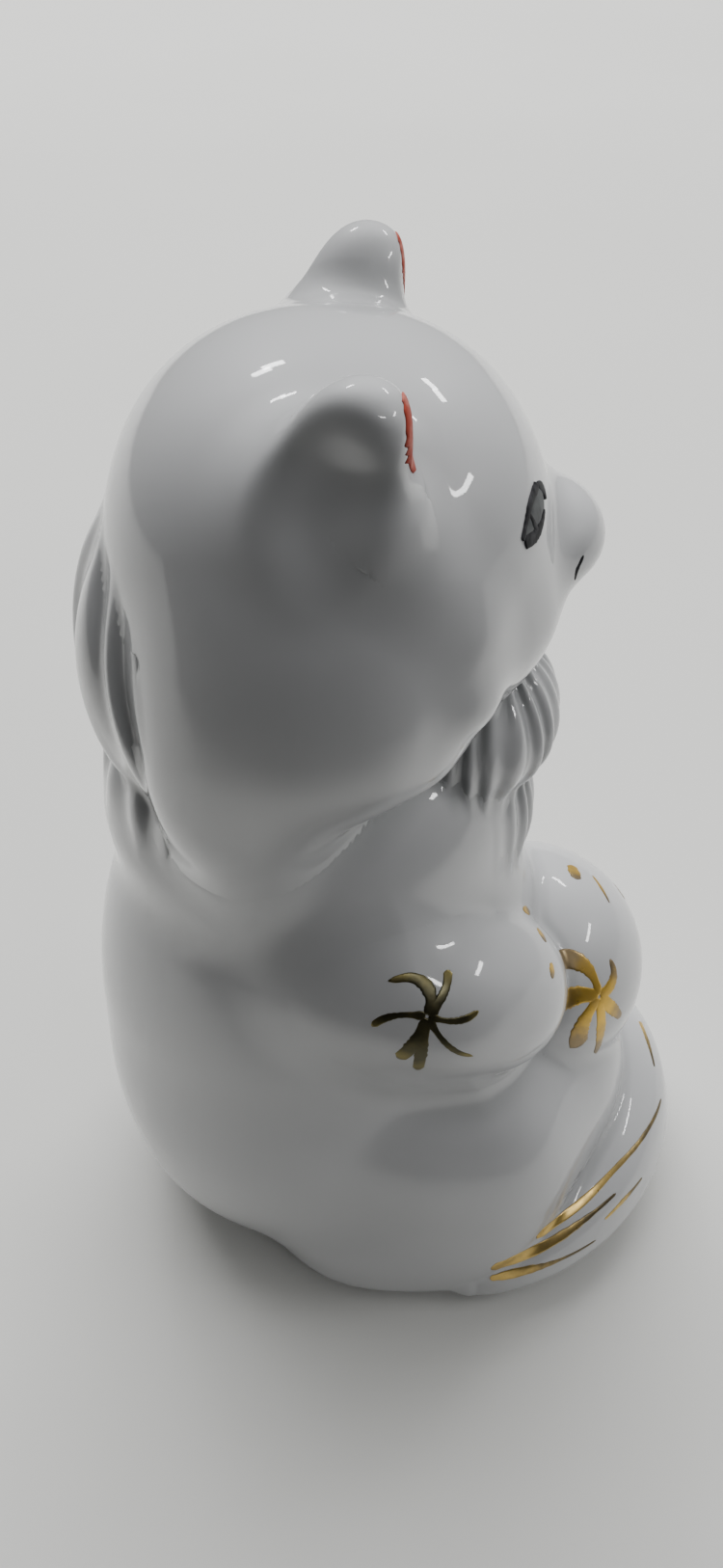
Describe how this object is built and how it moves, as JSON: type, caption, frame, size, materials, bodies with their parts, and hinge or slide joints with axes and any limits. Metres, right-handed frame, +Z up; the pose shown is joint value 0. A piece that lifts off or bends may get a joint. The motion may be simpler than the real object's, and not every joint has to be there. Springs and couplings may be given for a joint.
{
  "type": "seated lion-dog porcelain figure",
  "caption": "Seated glazed porcelain lion-dog figure hugging a brocade ball, tail curled round its feet, with gilt whorls and brush strokes and red inner ears.",
  "frame": {"origin": "centre of the figure's bounding box, on the surface that it stands on", "axes": "+Z up; the figure faces -Y; its right side is at -X"},
  "size_m": [0.0554, 0.0699, 0.11],
  "materials": {
    "porcelain": "gloss",
    "black_enamel": "gloss",
    "grey_enamel": "gloss",
    "red_enamel": "gloss",
    "gilt": "polished"
  },
  "bodies": {
    "root": {"torso_shell": "porcelain", "head_shell": "porcelain", "right_ear": "porcelain", "left_ear": "porcelain", "right_side_mane": "porcelain", "left_side_mane": "porcelain", "nape_mane_upper": "porcelain", "nape_mane_lower": "porcelain", "chest_ruff_upper": "porcelain", "chest_ruff_lower": "porcelain", "right_haunch": "porcelain", "left_haunch": "porcelain", "right_foreleg": "porcelain", "left_foreleg": "porcelain", "brocade_ball": "porcelain", "tail": "porcelain", "right_eye_outline": "black_enamel", "left_eye_outline": "black_enamel", "right_eye_iris": "grey_enamel", "left_eye_iris": "grey_enamel", "right_ear_lining": "red_enamel", "left_ear_lining": "red_enamel", "mouth_line": "black_enamel", "right_shoulder_whorl": "gilt", "left_shoulder_whorl": "gilt", "ball_whorls": "gilt", "forepaw_claws": "gilt", "tail_strokes": "gilt"}
  },
  "joints": []
}
